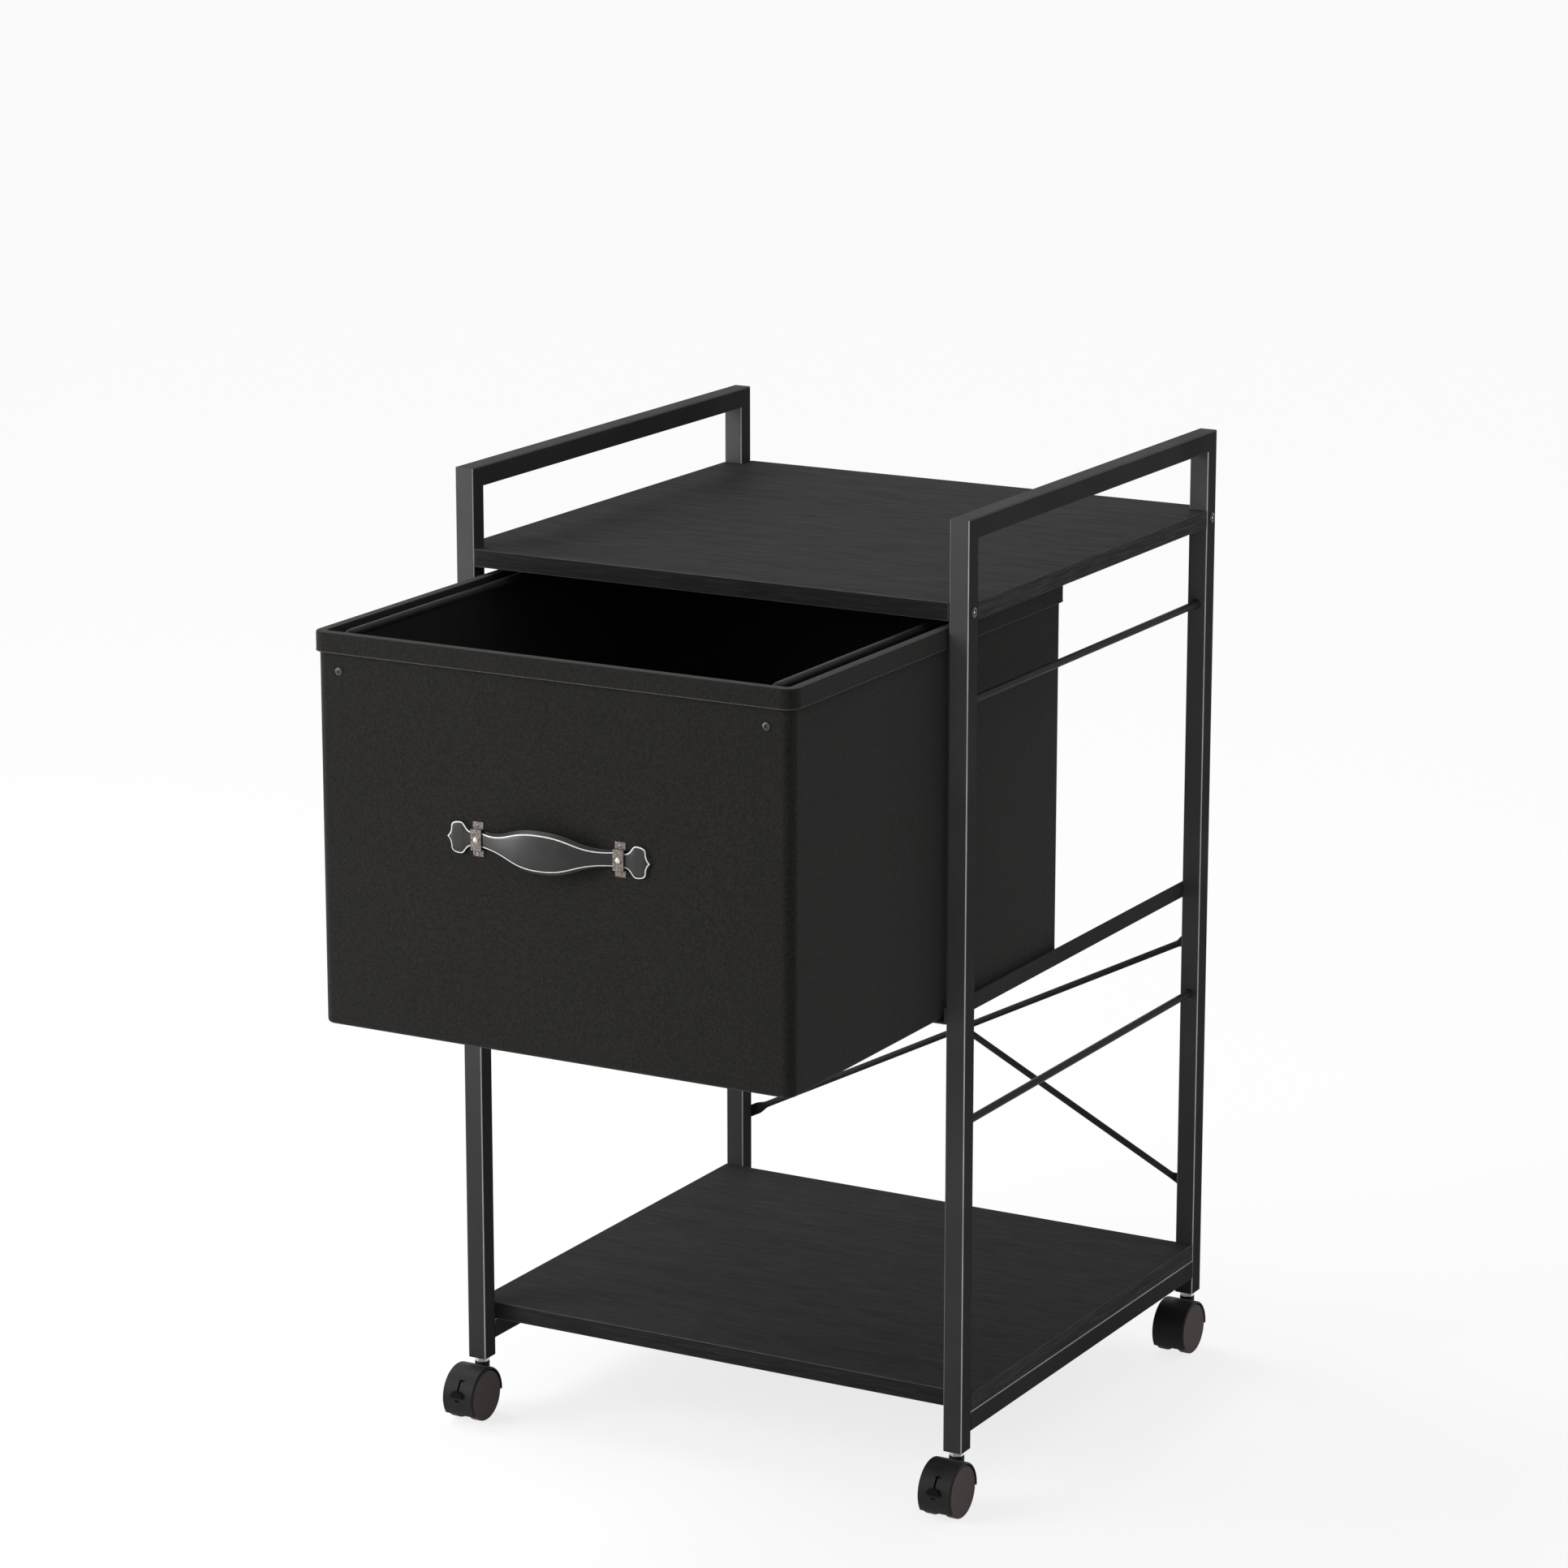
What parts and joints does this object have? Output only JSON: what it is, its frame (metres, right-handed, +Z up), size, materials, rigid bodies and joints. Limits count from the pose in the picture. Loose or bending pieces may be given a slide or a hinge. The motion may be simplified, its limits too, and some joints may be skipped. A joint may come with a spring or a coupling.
{
  "type": "mobile file cart",
  "caption": "Mobile file cart: square-tube frame on twin-wheel casters with upper and lower shelves, a rear cross brace and a pull-out fabric drawer with hanging-file rails and a strap handle.",
  "frame": {"origin": "on the floor under the middle of the bounding box, with the drawer pulled out as in the picture", "axes": "+Z up from the floor, +X to the right seen from the front, -Y to the front, where the drawer opens"},
  "size_m": [0.421, 0.63, 0.7119],
  "materials": {
    "frame_paint": "satin",
    "laminate": "satin",
    "drawer_fabric": "matte",
    "strap_leather": "satin",
    "bracket_metal": "satin",
    "zinc": "satin",
    "black_plastic": "satin",
    "wheel_plastic": "satin"
  },
  "bodies": {
    "frame": {"front_left_post": "frame_paint", "front_right_post": "frame_paint", "rear_left_post": "frame_paint", "rear_right_post": "frame_paint", "left_top_rail": "frame_paint", "left_bottom_rail": "frame_paint", "left_upper_rod": "frame_paint", "left_lower_rod": "frame_paint", "left_drawer_angle": "frame_paint", "right_top_rail": "frame_paint", "right_bottom_rail": "frame_paint", "right_upper_rod": "frame_paint", "right_lower_rod": "frame_paint", "right_drawer_angle": "frame_paint", "top_shelf": "laminate", "bottom_shelf": "laminate", "rising_brace_rod": "frame_paint", "falling_brace_rod": "frame_paint", "front_left_shelf_bolt": "frame_paint", "front_left_caster_socket": "black_plastic", "front_left_caster_stem": "zinc", "front_right_shelf_bolt": "frame_paint", "front_right_caster_socket": "black_plastic", "front_right_caster_stem": "zinc", "rear_left_shelf_bolt": "frame_paint", "rear_left_caster_socket": "black_plastic", "rear_left_caster_stem": "zinc", "rear_right_shelf_bolt": "frame_paint", "rear_right_caster_socket": "black_plastic", "rear_right_caster_stem": "zinc"},
    "drawer": {"drawer_front_panel": "drawer_fabric", "drawer_rear_panel": "drawer_fabric", "drawer_left_panel": "drawer_fabric", "drawer_right_panel": "drawer_fabric", "drawer_base_panel": "drawer_fabric", "drawer_rim": "drawer_fabric", "left_file_rail": "frame_paint", "right_file_rail": "frame_paint", "handle_strap": "strap_leather", "handle_left_bracket": "bracket_metal", "handle_right_bracket": "bracket_metal"},
    "front_left_caster": {"front_left_caster_hood": "black_plastic", "front_left_caster_axle": "zinc"},
    "front_left_left_wheel": {"front_left_caster_left_wheel": "wheel_plastic"},
    "front_left_right_wheel": {"front_left_caster_right_wheel": "wheel_plastic"},
    "front_left_brake": {"front_left_brake_lever": "black_plastic"},
    "front_right_caster": {"front_right_caster_hood": "black_plastic", "front_right_caster_axle": "zinc"},
    "front_right_left_wheel": {"front_right_caster_left_wheel": "wheel_plastic"},
    "front_right_right_wheel": {"front_right_caster_right_wheel": "wheel_plastic"},
    "front_right_brake": {"front_right_brake_lever": "black_plastic"},
    "rear_left_caster": {"rear_left_caster_hood": "black_plastic", "rear_left_caster_axle": "zinc"},
    "rear_left_left_wheel": {"rear_left_caster_left_wheel": "wheel_plastic"},
    "rear_left_right_wheel": {"rear_left_caster_right_wheel": "wheel_plastic"},
    "rear_right_caster": {"rear_right_caster_hood": "black_plastic", "rear_right_caster_axle": "zinc"},
    "rear_right_left_wheel": {"rear_right_caster_left_wheel": "wheel_plastic"},
    "rear_right_right_wheel": {"rear_right_caster_right_wheel": "wheel_plastic"}
  },
  "joints": [
    {"name": "drawer_slide", "type": "slide", "parent": "frame", "child": "drawer", "axis": [0, -1, 0], "range_m": [-0.2087, 0.055]},
    {"name": "front_left_swivel", "type": "hinge", "parent": "frame", "child": "front_left_caster", "pos_m": [-0.1975, -0.08394, 0.03], "axis": [0, 0, 1], "continuous": true},
    {"name": "front_left_left_wheel_spin", "type": "hinge", "parent": "front_left_caster", "child": "front_left_left_wheel", "pos_m": [-0.2063, -0.09794, 0.01913], "axis": [1, 0, 0], "continuous": true},
    {"name": "front_left_right_wheel_spin", "type": "hinge", "parent": "front_left_caster", "child": "front_left_right_wheel", "pos_m": [-0.1887, -0.09794, 0.01913], "axis": [1, 0, 0], "continuous": true},
    {"name": "front_left_brake_tilt", "type": "hinge", "parent": "front_left_caster", "child": "front_left_brake", "pos_m": [-0.1975, -0.10994, 0.02473], "axis": [-1, 0, 0], "range_deg": [0, 36]},
    {"name": "front_right_swivel", "type": "hinge", "parent": "frame", "child": "front_right_caster", "pos_m": [0.1975, -0.08394, 0.03], "axis": [0, 0, 1], "continuous": true},
    {"name": "front_right_left_wheel_spin", "type": "hinge", "parent": "front_right_caster", "child": "front_right_left_wheel", "pos_m": [0.1887, -0.09794, 0.01913], "axis": [1, 0, 0], "continuous": true},
    {"name": "front_right_right_wheel_spin", "type": "hinge", "parent": "front_right_caster", "child": "front_right_right_wheel", "pos_m": [0.2063, -0.09794, 0.01913], "axis": [1, 0, 0], "continuous": true},
    {"name": "front_right_brake_tilt", "type": "hinge", "parent": "front_right_caster", "child": "front_right_brake", "pos_m": [0.1975, -0.10994, 0.02473], "axis": [-1, 0, 0], "range_deg": [0, 36]},
    {"name": "rear_left_swivel", "type": "hinge", "parent": "frame", "child": "rear_left_caster", "pos_m": [-0.1975, 0.30106, 0.03], "axis": [0, 0, 1], "continuous": true},
    {"name": "rear_left_left_wheel_spin", "type": "hinge", "parent": "rear_left_caster", "child": "rear_left_left_wheel", "pos_m": [-0.2063, 0.28706, 0.01913], "axis": [1, 0, 0], "continuous": true},
    {"name": "rear_left_right_wheel_spin", "type": "hinge", "parent": "rear_left_caster", "child": "rear_left_right_wheel", "pos_m": [-0.1887, 0.28706, 0.01913], "axis": [1, 0, 0], "continuous": true},
    {"name": "rear_right_swivel", "type": "hinge", "parent": "frame", "child": "rear_right_caster", "pos_m": [0.1975, 0.30106, 0.03], "axis": [0, 0, 1], "continuous": true},
    {"name": "rear_right_left_wheel_spin", "type": "hinge", "parent": "rear_right_caster", "child": "rear_right_left_wheel", "pos_m": [0.1887, 0.28706, 0.01913], "axis": [1, 0, 0], "continuous": true},
    {"name": "rear_right_right_wheel_spin", "type": "hinge", "parent": "rear_right_caster", "child": "rear_right_right_wheel", "pos_m": [0.2063, 0.28706, 0.01913], "axis": [1, 0, 0], "continuous": true}
  ]
}
